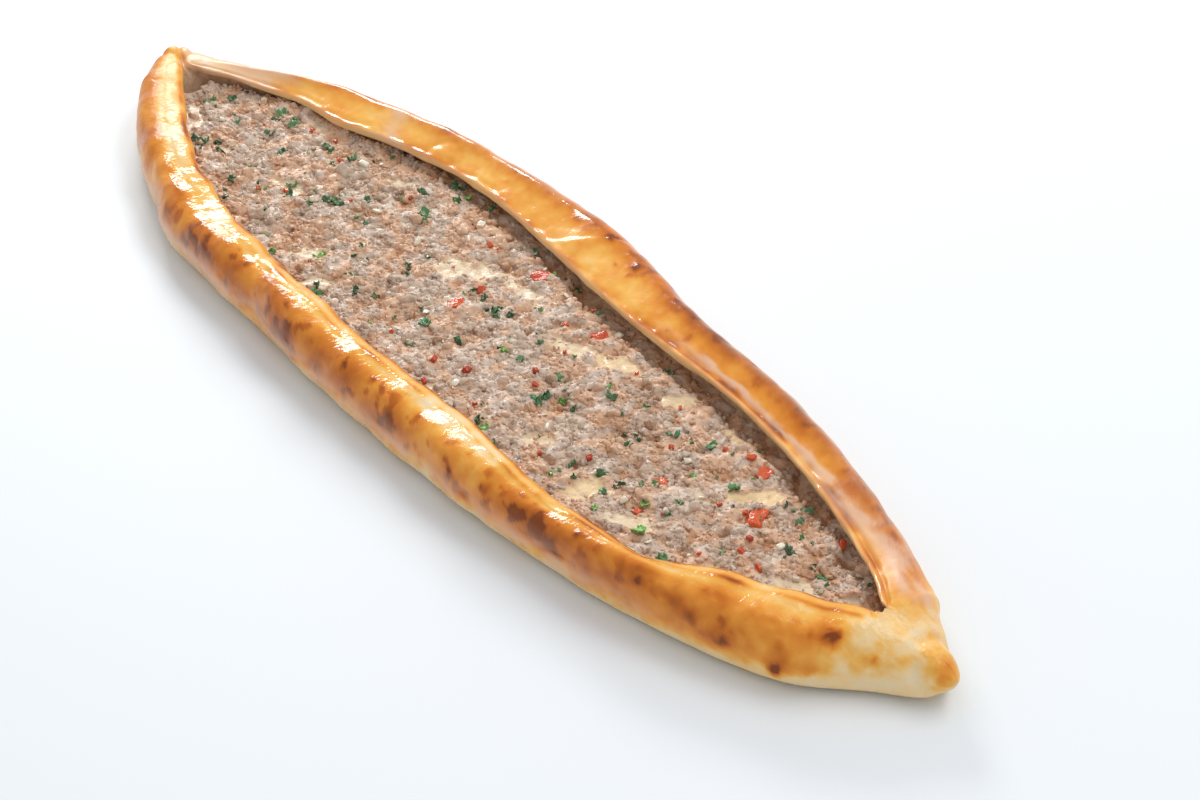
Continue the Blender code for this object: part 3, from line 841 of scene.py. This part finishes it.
def mince_bed(lumps):
    """The solid layer of mince, out to the walls of the hollow, with its crumbly top."""
    piece = add_shape(
        bpy.ops.mesh.primitive_grid_add, x_subdivisions=BED_COLUMNS, y_subdivisions=BED_ROWS, size=1
    )
    piece.name = piece.data.name = "mince_bed"
    points = points_of(piece)
    along, over = points[:, 0] + 0.5, points[:, 1] + 0.5
    x = FILLING_LOW.x + (FILLING_HIGH.x - FILLING_LOW.x) * along
    start = line_at("narrow", x) + BED_CLEAR
    width = line_at("broad", x) - BED_CLEAR - start
    points = np.stack([x, start + width * over, np.zeros(len(x))], 1)
    edge = np.minimum(np.minimum(over, 1 - over) * width, np.minimum(along, 1 - along) * 0.4)
    top, light = bed_surface(points, lumps)
    low = FILLING_LOW.z + 0.5 * MM
    bare, yellow = bareness(points)
    points[:, 2] = low + (top - low) * np.sqrt(smooth(0, 3 * MM, edge))
    move_points(piece, points)
    write_attribute(piece, "bare", bare)
    write_attribute(piece, "yellow", yellow)
    # The bed's tone is painted light and shade from its relief: lighter on lumps, darker in pits and under
    # the broad lip
    write_attribute(piece, "tone", clamp(0.5 + light))
    with editing(piece, "DESELECT"):
        bpy.ops.mesh.select_mode(type="EDGE")
        bpy.ops.mesh.select_non_manifold()
        bpy.ops.mesh.extrude_region_move(TRANSFORM_OT_translate={"value": (0, 0, -BED_THICKNESS)})
        close_mesh()
    return piece


def taken_shape(piece):
    """Points and triangles of a piece, which is then removed."""
    with editing(piece):
        bpy.ops.mesh.quads_convert_to_tris()
    points = points_of(piece)
    faces = np.array([face.vertices[:] for face in piece.data.polygons], np.int32)
    bpy.data.objects.remove(piece)
    return points, faces


def lump_shape(fineness, unevenness, seed):
    """A crumb about 1 across."""
    piece = add_shape(bpy.ops.mesh.primitive_ico_sphere_add, subdivisions=fineness, radius=0.5)
    points = points_of(piece)
    swell = 1 + unevenness * (turbulence(points, 0.6, seed) + 0.8 * turbulence(points, 0.28, seed + 1))
    move_points(piece, points * swell[:, None])
    return taken_shape(piece)


def chip_shape(seed, rounding=0.18):
    """A cut dice or chip about 1 across, with soft edges."""
    piece = add_shape(bpy.ops.mesh.primitive_cube_add, size=1)
    with editing(piece):
        bpy.ops.mesh.bevel(offset=rounding, segments=2, affect="EDGES")
    points = points_of(piece)
    shove = np.stack([turbulence(points, 0.9, seed + k) for k in range(3)], 1)
    move_points(piece, points + 0.22 * shove)
    return taken_shape(piece)


def leaf_shape(seed):
    """A torn, crumpled bit of leaf about 1 across."""
    piece = add_shape(bpy.ops.mesh.primitive_grid_add, x_subdivisions=7, y_subdivisions=5, size=1)
    points = points_of(piece)
    turn = np.arctan2(points[:, 1], points[:, 0])
    reach = np.linalg.norm(points, axis=1)
    lobes = 1 - 0.30 * smooth(0.15, 0.6, reach) * (0.5 + 0.5 * np.sin(3 * turn + seed + np.sin(2 * turn)))
    points *= lobes[:, None] / (0.72 + 0.55 * reach[:, None])
    points = wandering(points, 0.13, 0.30, 10 * seed)
    points[:, 2] = 0.6 * turbulence(points, 0.34, seed) + 0.9 * (points[:, 0] ** 2 - 0.4 * points[:, 1] ** 2)
    move_points(piece, points)
    apply_modifier(piece, "SOLIDIFY", thickness=0.07)
    return taken_shape(piece)


def turned(angles):
    return np.array([Euler(angle).to_matrix() for angle in angles], float)


def scattered(name, shapes, places, sizes, turns, tones):
    """One piece of many copies: each takes the next shape, at its place, of its size along each axis."""
    all_points, all_faces, all_tones, used = [], [], [], 0
    for k, (points, faces) in enumerate(shapes):
        mine = np.arange(k, len(places), len(shapes))
        copies = np.einsum("nij,nmj->nmi", turns[mine], points[None] * sizes[mine][:, None, :])
        copies += places[mine][:, None, :]
        steps = np.arange(len(mine)) * len(points)
        all_points.append(copies.reshape(-1, 3))
        all_faces.append((faces[None] + steps[:, None, None]).reshape(-1, 3) + used)
        all_tones.append(np.repeat(tones[mine], len(points)))
        used += len(mine) * len(points)
    piece = mesh_piece(name, np.concatenate(all_points), np.concatenate(all_faces))
    write_attribute(piece, "tone", np.concatenate(all_tones))
    return piece


def spots_on_bed(draw, count, tuck, margin):
    """Random places over the filling: tuck is how far they may lie in under the lips."""
    x = draw.uniform(FILLING_LOW.x + margin, FILLING_HIGH.x - margin, 3 * count)
    y = draw.uniform(FILLING_LOW.y, FILLING_HIGH.y, 3 * count)
    highest = np.minimum(line_at("broad_lip", x) + tuck, line_at("broad", x) - margin)
    lowest = np.maximum(line_at("narrow_lip", x) - tuck, line_at("narrow", x) + margin)
    kept = (y < highest) & (y > lowest)
    return np.stack([x, y, np.zeros(len(x))], 1)[kept][:count]


def tumbled(draw, number, tilt):
    """Random turns that leave a bit nearly flat, any way round."""
    tilts = draw.uniform(-tilt, tilt, (number, 3))
    return turned(tilts + np.array((0, 0, 1)) * draw.uniform(0, 6, (number, 1)))


def chips(name, draw, count, lengths, thinnest, proportions, tilt, shapes, lumps):
    """Small cut bits on the bed: lengths in millimetres, and proportions along their own axes."""
    places = spots_on_bed(draw, count, 0, 6 * MM)
    number = len(places)
    sizes = draw.uniform(*lengths, (number, 1)) * MM * draw.uniform(thinnest, 1.2, (number, 3)) * proportions
    lie_on_bed(places, lumps, 0.7 * MM)
    turns = tumbled(draw, number, tilt)
    return scattered(name, shapes, places, sizes, turns, draw.random(number))


def leaves(name, draw, count, longest, shapes, lumps):
    """Chopped leaves on the bed, many of them beside another one."""
    places = spots_on_bed(draw, count, 2 * MM, 5 * MM)
    beside = places[draw.random(len(places)) < 0.7]
    beside = beside + draw.normal(0, 1.6, (len(beside), 3)) * MM * (1, 1, 0)
    places = np.concatenate([places, beside])
    number = len(places)
    sizes = (1.2 + (longest - 1.2) * draw.random((number, 1)) ** 2.2) * MM
    sizes = sizes * draw.uniform(0.6, 1.2, (number, 3))
    lie_on_bed(places, lumps, 0.6 * MM)
    turns = tumbled(draw, number, 0.7)
    return scattered(name, shapes, places, sizes, turns, draw.random(number))


def soft_dice(name, seed):
    """A finer copy of a large dice's solid, curled and worked uneven."""
    low, high = (np.array(corner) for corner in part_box(name))
    piece = bpy.data.objects.new(name.replace("pepper", "pepper_dice"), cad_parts[name].data.copy())
    bpy.context.scene.collection.objects.link(piece)
    with editing(piece):
        bpy.ops.mesh.remove_doubles(threshold=1e-6)
        bpy.ops.mesh.tris_convert_to_quads()
        bpy.ops.mesh.subdivide(number_cuts=3)
    apply_modifier(piece, "SMOOTH", factor=0.5, iterations=4)
    points = points_of(piece)
    from_middle = np.linalg.norm((points - (low + high) / 2)[:, :2], axis=1)
    points[:, 2] -= DICE_CURL * from_middle**2 + 0.2 * MM
    move_points(piece, wandering(points, 0.8 * MM, 3.5 * MM, seed))
    return piece


def crumbs(name, count, fineness, smallest, largest, sunk, lumps, seed):
    """Loose crumbs of one size range, half sunk in the bed where it isn't bare."""
    draw = np.random.default_rng(seed)
    places = spots_on_bed(draw, count, 5 * MM, 2 * MM)
    covered = np.maximum(0.9 * bareness(places)[0], beside_dice(places))
    covered = np.maximum(covered, 0.75 * sunken_share(places))
    thick = turbulence(places, 9 * MM, 51)
    kept = (covered < draw.uniform(0.05, 0.9, len(places))) & (thick > draw.uniform(-0.9, 0.15, len(places)))
    places = places[kept]
    number = len(places)
    size = smallest + (largest - smallest) * draw.random(number) ** 2
    sizes = size[:, None] * draw.uniform(0.65, 1.3, (number, 3))
    top, light = bed_surface(places, lumps)
    places[:, 2] = top + sunk * size
    angles = draw.uniform(0, 2 * math.pi, (number, 3))
    # A crumb's tone is painted light and shade from the bed under it, with a little random difference
    tones = clamp(0.55 + 0.6 * light + 0.07 * draw.standard_normal(number))
    shapes = [lump_shape(fineness, 0.75, seed + 3 * k) for k in range(5)]
    return scattered(name, shapes, places, sizes, turned(angles), tones)


def mince_grains(group, place):
    """Rounded grains: 1 in the middle of each, less towards its edge."""
    shoved = add_node(group, "ShaderNodeVectorMath", operation="MULTIPLY_ADD")
    link(group, noise_node(group, place, 420.0, 1.0), shoved.inputs[0])
    shoved.inputs[1].default_value = (2.2 * MM, 2.2 * MM, 2.2 * MM)
    link(group, place, shoved.inputs[2])
    grains = add_node(group, "ShaderNodeTexVoronoi", feature="SMOOTH_F1")
    grains.inputs["Scale"].default_value = 640.0
    grains.inputs["Smoothness"].default_value = 0.35
    link(group, shoved.outputs["Vector"], grains.inputs["Vector"])
    return maths(group, "SUBTRACT", 1.0, grains.outputs["Distance"])


def meat_colour(group, place, inside, texture, rounded):
    """Meat from dark to light, by painted shade in its hollows, a painted highlight on its lumps and in the
    middle of each grain, and random grain, with patches of grey meat and of oily fat.
    """
    # Tone brings painted light and shade from the relief, and the texture adds random grain
    tone = maths(group, "MULTIPLY_ADD", texture, 0.34, inside["Tone"])
    # Painted highlight: the middle of each rounded grain is made lighter
    tone = maths(group, "MULTIPLY_ADD", rounded, 0.22, tone)
    tone = maths(group, "SUBTRACT", tone, 0.275)
    tone = maths(group, "MULTIPLY_ADD", noise_node(group, place, 75.0, 1.0), 0.6, tone)
    low = maths(group, "MULTIPLY", maths(group, "SUBTRACT", tone, 0.30), 2.0)
    colour = mix_colours(group, unit(group, low), inside["Dark"], inside["Middle"])
    high = unit(group, maths(group, "SUBTRACT", low, 1.0))
    colour = mix_colours(group, high, colour, inside["Light"])
    grey = maths(group, "MULTIPLY_ADD", noise_node(group, place, 150.0, 2.0), 5.0, -2.75)
    grey = maths(group, "MULTIPLY", unit(group, grey), 0.36)
    colour = mix_colours(group, grey, colour, GREY_MEAT)
    oily = maths(group, "MULTIPLY_ADD", noise_node(group, place, 125.0, 2.0), 5.5, -2.6)
    oily = maths(group, "MULTIPLY_ADD", inside["Yellow"], 0.6, unit(group, oily))
    return mix_colours(group, maths(group, "MINIMUM", oily, 0.5), colour, OILY_FAT)


def mince_group():
    """Cooked mince, with pale dough and melted fat where it is bare."""
    known = bpy.data.node_groups.get("Mince")
    if known:
        return known
    sockets = {"Vector": "Vector", "Tone": "Float", "Bare": "Float", "Yellow": "Float"}
    sockets.update(dict.fromkeys(("Dark", "Middle", "Light", "Dough", "Fat"), "Color"))
    ends = {"Color": "Color", "Roughness": "Float", "Height": "Float"}
    group, inside, outside = new_group("Mince", sockets, ends)
    place = inside["Vector"]
    texture, rounded = grain(group, place, 420.0, 1500.0), mince_grains(group, place)
    bare = maths(group, "MULTIPLY", noise_node(group, place, 330.0, 3.0, 0.7), 3.0)
    bare = maths(group, "MULTIPLY_ADD", inside["Bare"], 1.3, bare)
    bare = unit(group, maths(group, "MULTIPLY", maths(group, "SUBTRACT", bare, 2.0), 1.4))
    colour = meat_colour(group, place, inside, texture, rounded)
    pale = mix_colours(group, unit(group, inside["Yellow"]), inside["Dough"], inside["Fat"])
    link(group, mix_colours(group, maths(group, "MULTIPLY", bare, 0.74), colour, pale), outside["Color"])
    wet = maths(group, "MULTIPLY_ADD", noise_node(group, place, 300.0, 2.0, 0.6), 1.1, -0.17)
    wet = maths(group, "MULTIPLY_ADD", bare, -0.12, wet)
    link(group, maths(group, "MAXIMUM", wet, 0.28), outside["Roughness"])
    flatter = maths(group, "MULTIPLY_ADD", bare, -0.8, 1.0)
    height = maths(group, "MULTIPLY_ADD", texture, 0.5, rounded)
    link(group, maths(group, "MULTIPLY", height, flatter), outside["Height"])
    return group


def mince_material(name, colours):
    """Mince in these colours, from painted shade in its hollows to painted light on its grains, and then of
    bare dough and of fat.
    """
    made, tree, shader = new_material(name, IOR=1.28)
    mince = add_node(tree, "ShaderNodeGroup", node_tree=mince_group())
    link(tree, object_place(tree), mince.inputs["Vector"])
    for socket in ("Tone", "Bare", "Yellow"):
        link(tree, attribute(tree, socket.lower()), mince.inputs[socket])
    for socket, colour in zip(("Dark", "Middle", "Light", "Dough", "Fat"), colours):
        mince.inputs[socket].default_value = (*colour, 1.0)
    link(tree, mince.outputs["Color"], shader.inputs["Base Color"])
    link(tree, mince.outputs["Roughness"], shader.inputs["Roughness"])
    link(tree, bump(tree, mince.outputs["Height"], 0.36 * MM), shader.inputs["Normal"])
    return made


def vegetable_material(name, dark, light, roughness, fineness=500.0):
    """Cooked vegetable whose colour runs from dark to light over each bit."""
    made, tree, shader = new_material(name, Roughness=roughness, IOR=1.45)
    place = object_place(tree)
    texture = grain(tree, place, fineness, 3 * fineness)
    tone = maths(tree, "MULTIPLY_ADD", texture, 1.6, attribute(tree, "tone"))
    tone = maths(tree, "SUBTRACT", tone, 0.8)
    link(tree, ramp(tree, tone, ((0.15, dark), (0.85, light))), shader.inputs["Base Color"])
    link(tree, bump(tree, texture, 0.8 * MM), shader.inputs["Normal"])
    return made


# ---------------------------------------------------------------------------------------------- the stage


def lay_floor(colour):
    """A wide, plain floor at the height that the boat stands on."""
    floor = add_shape(bpy.ops.mesh.primitive_plane_add, size=30, location=(0, 0, CAD_BOX[0][2]))
    floor.name = "floor"
    floor.data.materials.append(new_material("Floor", Roughness=0.6, Base_Color=(*colour, 1.0))[0])


def add_light(name, place, size, power):
    """A rectangular softbox aimed at the middle of the boat."""
    light = bpy.data.lights.new(name, "AREA")
    light.shape = "RECTANGLE"
    light.size, light.size_y = size
    light.energy = power
    lamp = bpy.data.objects.new(name, light)
    lamp.location = place
    lamp.rotation_euler = (-Vector(place)).to_track_quat("-Z", "Y").to_euler()
    bpy.context.scene.collection.objects.link(lamp)


def light_world():
    """Plain studio light from all round."""
    world = bpy.data.worlds.new("Studio")
    world.use_nodes = True
    background = world.node_tree.nodes["Background"]
    background.inputs["Color"].default_value = WORLD_COLOUR
    background.inputs["Strength"].default_value = WORLD_STRENGTH
    bpy.context.scene.world = world
    bpy.context.scene.view_settings.view_transform = "Standard"


def place_camera(lens, pitch):
    """A camera with this lens, looking down by this much."""
    camera = bpy.data.objects.new("camera", bpy.data.cameras.new("camera"))
    camera.data.lens = lens
    camera.data.sensor_width = 36
    camera.location = CAMERA_PLACE
    away = math.atan2(CAMERA_HEADING[1], CAMERA_HEADING[0])
    camera.rotation_euler = (math.pi / 2 - pitch, 0, away - math.pi / 2)
    bpy.context.scene.collection.objects.link(camera)
    bpy.context.scene.camera = camera


# ---------------------------------------------------------------------------------------------- properties


def colour_property(name, description, default):
    return bpy.props.FloatVectorProperty(
        name=name, description=description, default=default, subtype="COLOR", size=3, min=0.0, max=1.0
    )


class CrustSettings(bpy.types.PropertyGroup):
    underside: colour_property("Underside", "Unbaked cream of the underside", (0.84, 0.67, 0.42))
    cream: colour_property("Cream", "Lightly baked dough", (0.88, 0.60, 0.27))
    golden: colour_property("Golden", "Golden dough", (0.86, 0.445, 0.085))
    orange: colour_property("Orange", "Well baked dough", (0.77, 0.285, 0.032))
    brown: colour_property("Brown", "Browned shoulders", (0.55, 0.145, 0.009))
    dark: colour_property("Dark", "Scorched blisters", (0.22, 0.046, 0.005))
    wash_roughness: bpy.props.FloatProperty(
        name="Egg wash roughness", description="Roughness of the egg wash", default=0.07, min=0.0, max=1.0,
        subtype="FACTOR",
    )


class FillingSettings(bpy.types.PropertyGroup):
    lumps: bpy.props.FloatProperty(
        name="Lumps", description="Depth of the mince's unevenness", default=0.0011, unit="LENGTH"
    )
    smallest: bpy.props.FloatProperty(
        name="Smallest crumb", description="Size of the smallest crumbs", default=0.0009, unit="LENGTH"
    )
    largest: bpy.props.FloatProperty(
        name="Largest crumb", description="Size of the largest crumbs", default=0.0046, unit="LENGTH"
    )
    # Dark meat is the mince in painted shade, in hollows and under the broad lip, and Light meat the mince
    # under a painted highlight on its grains; the tone that picks between them is painted light and shade
    # with random grain
    meat_dark: colour_property("Dark meat", "Mince in its hollows", (0.37, 0.185, 0.10))
    meat: colour_property("Meat", "Cooked mince", (0.565, 0.42, 0.312))
    meat_light: colour_property("Light meat", "Mince on its grains", (0.71, 0.572, 0.470))
    dough: colour_property("Bare dough", "Pale dough between the mince", (0.76, 0.66, 0.49))
    fat: colour_property("Melted fat", "Yellow fat on the dough", (0.85, 0.64, 0.33))
    pepper: colour_property("Pepper", "Red pepper", (0.60, 0.06, 0.02))
    parsley: colour_property("Parsley", "Parsley leaves", (0.042, 0.105, 0.040))


class StageSettings(bpy.types.PropertyGroup):
    floor: colour_property("Floor", "Colour of the floor", (0.80, 0.83, 0.85))
    lens: bpy.props.FloatProperty(name="Lens", description="Focal length in millimetres", default=75.0)
    pitch: bpy.props.FloatProperty(
        name="Pitch", description="How far the camera looks down", default=math.radians(36.5), subtype="ANGLE"
    )


# ---------------------------------------------------------------------------------------------- operators


BAKE_COLOURS = ("underside", "cream", "golden", "orange", "brown", "dark")
MINCE_COLOURS = ("meat_dark", "meat", "meat_light", "dough", "fat")


def colours_of(settings, names):
    return [tuple(getattr(settings, name)) for name in names]


class PideOperator(bpy.types.Operator):
    bl_options = {"REGISTER", "UNDO"}


class PIDE_OT_crust(PideOperator):
    """Bake the crust: a finer copy of its solid, with blisters, browned shoulders and egg wash"""

    bl_idname = "pide.crust"
    bl_label = "Bake crust"

    def execute(self, context):
        settings = context.scene.pide_crust
        piece = crust_mesh()
        dark = shape_crust(piece)
        bake_crust(piece, dark)
        material = crust_material(colours_of(settings, BAKE_COLOURS), settings.wash_roughness)
        finish_piece(piece, material, "crust", "crust")
        return {"FINISHED"}


class PIDE_OT_mince_bed(PideOperator):
    """Spread the layer of mince, with bare places where dough and fat show"""

    bl_idname = "pide.mince_bed"
    bl_label = "Spread mince"

    def execute(self, context):
        settings = context.scene.pide_filling
        piece = mince_bed(settings.lumps)
        material = mince_material("Mince bed", colours_of(settings, MINCE_COLOURS))
        finish_piece(piece, material, "filling", "filling")
        return {"FINISHED"}


class PIDE_OT_crumbs(PideOperator):
    """Scatter loose crumbs of mince in three sizes over the bed"""

    bl_idname = "pide.crumbs"
    bl_label = "Scatter crumbs"

    def execute(self, context):
        settings = context.scene.pide_filling
        small, large, lumps = settings.smallest, settings.largest, settings.lumps
        material = mince_material("Mince crumbs", colours_of(settings, MINCE_COLOURS))
        pieces = (
            crumbs("mince_grains", 12000, 1, small, 0.42 * large, -0.08, lumps, 61),
            crumbs("mince_crumbs", 3200, 2, 0.3 * large, 0.7 * large, -0.20, lumps, 71),
            crumbs("mince_clumps", 640, 3, 0.6 * large, 1.2 * large, -0.25, lumps, 81),
        )
        for piece in pieces:
            finish_piece(piece, material, "filling")
        return {"FINISHED"}


class PIDE_OT_peppers(PideOperator):
    """Lay in the diced pepper: each large dice in place of its solid, and the small bits together"""

    bl_idname = "pide.peppers"
    bl_label = "Lay in pepper"

    def execute(self, context):
        settings = context.scene.pide_filling
        red = tuple(0.75 * part for part in settings.pepper)
        material = vegetable_material("Red pepper", red, ORANGE_PEPPER, 0.14, 330.0)
        draw = np.random.default_rng(91)
        for number, name in enumerate(DICE_NAMES):
            piece = soft_dice(name, 3 * number + 1)
            write_attribute(piece, "tone", np.full(len(piece.data.vertices), draw.uniform(0.2, 0.9)))
            finish_piece(piece, material, "pepper", name)
        shapes = [chip_shape(seed) for seed in (1, 2, 3)]
        piece = chips("pepper_bits", draw, 44, (1.2, 3.2), 0.6, (1, 1, 0.6), 0.5, shapes, settings.lumps)
        finish_piece(piece, material, "pepper")
        return {"FINISHED"}


class PIDE_OT_onion(PideOperator):
    """Scatter soft, pale bits of onion"""

    bl_idname = "pide.onion"
    bl_label = "Scatter onion"

    def execute(self, context):
        lumps, draw = context.scene.pide_filling.lumps, np.random.default_rng(101)
        shapes = [chip_shape(seed, 0.28) for seed in (5, 6, 7)]
        piece = chips("onion_bits", draw, 46, (1.6, 4.2), 0.5, (1, 0.8, 0.4), 0.4, shapes, lumps)
        finish_piece(piece, vegetable_material("Onion", ONION_DARK, ONION_LIGHT, 0.16, 300.0), "filling")
        return {"FINISHED"}


class PIDE_OT_parsley(PideOperator):
    """Scatter chopped parsley, most of it dark and some of it bright"""

    bl_idname = "pide.parsley"
    bl_label = "Scatter parsley"

    def execute(self, context):
        settings = context.scene.pide_filling
        shapes = [leaf_shape(seed) for seed in (1, 2, 3, 4, 5, 6)]
        kinds = (
            ("parsley_dark", 140, tuple(settings.parsley), 111, 5.2),
            ("parsley_bright", 26, BRIGHT_PARSLEY, 121, 4.4),
        )
        for name, count, colour, seed, longest in kinds:
            piece = leaves(name, np.random.default_rng(seed), count, longest, shapes, settings.lumps)
            light = tuple(min(1.0, 2.8 * part) for part in colour)
            finish_piece(piece, vegetable_material(name, colour, light, 0.2, 700.0), "filling")
        return {"FINISHED"}


class PIDE_OT_stage(PideOperator):
    """Set up the floor, the soft lights and the camera"""

    bl_idname = "pide.stage"
    bl_label = "Set up stage"

    def execute(self, context):
        settings = context.scene.pide_stage
        lay_floor(tuple(settings.floor))
        for softbox in SOFTBOXES:
            add_light(*softbox)
        light_world()
        place_camera(settings.lens, settings.pitch)
        return {"FINISHED"}


class PIDE_PT_panel(bpy.types.Panel):
    bl_label = "Turkish pide"
    bl_space_type = "VIEW_3D"
    bl_region_type = "UI"
    bl_category = "Pide"

    def draw(self, context):
        for operator in OPERATORS:
            self.layout.operator(operator.bl_idname)
        for settings in (context.scene.pide_crust, context.scene.pide_filling, context.scene.pide_stage):
            for name in settings.__annotations__:
                self.layout.prop(settings, name)


SETTINGS = (CrustSettings, FillingSettings, StageSettings)
OPERATORS = (
    PIDE_OT_crust, PIDE_OT_mince_bed, PIDE_OT_crumbs, PIDE_OT_peppers, PIDE_OT_onion, PIDE_OT_parsley,
    PIDE_OT_stage,
)


def register():
    for kind in (*SETTINGS, *OPERATORS, PIDE_PT_panel):
        bpy.utils.register_class(kind)
    bpy.types.Scene.pide_crust = bpy.props.PointerProperty(type=CrustSettings)
    bpy.types.Scene.pide_filling = bpy.props.PointerProperty(type=FillingSettings)
    bpy.types.Scene.pide_stage = bpy.props.PointerProperty(type=StageSettings)


def unregister():
    del bpy.types.Scene.pide_crust
    del bpy.types.Scene.pide_filling
    del bpy.types.Scene.pide_stage
    for kind in reversed((*SETTINGS, *OPERATORS, PIDE_PT_panel)):
        bpy.utils.unregister_class(kind)


def main():
    """Makes every piece and the stage."""
    register()
    bpy.ops.pide.crust()
    bpy.ops.pide.mince_bed()
    bpy.ops.pide.crumbs()
    bpy.ops.pide.peppers()
    bpy.ops.pide.onion()
    bpy.ops.pide.parsley()
    bpy.ops.pide.stage()


if __name__ == "__main__":
    main()
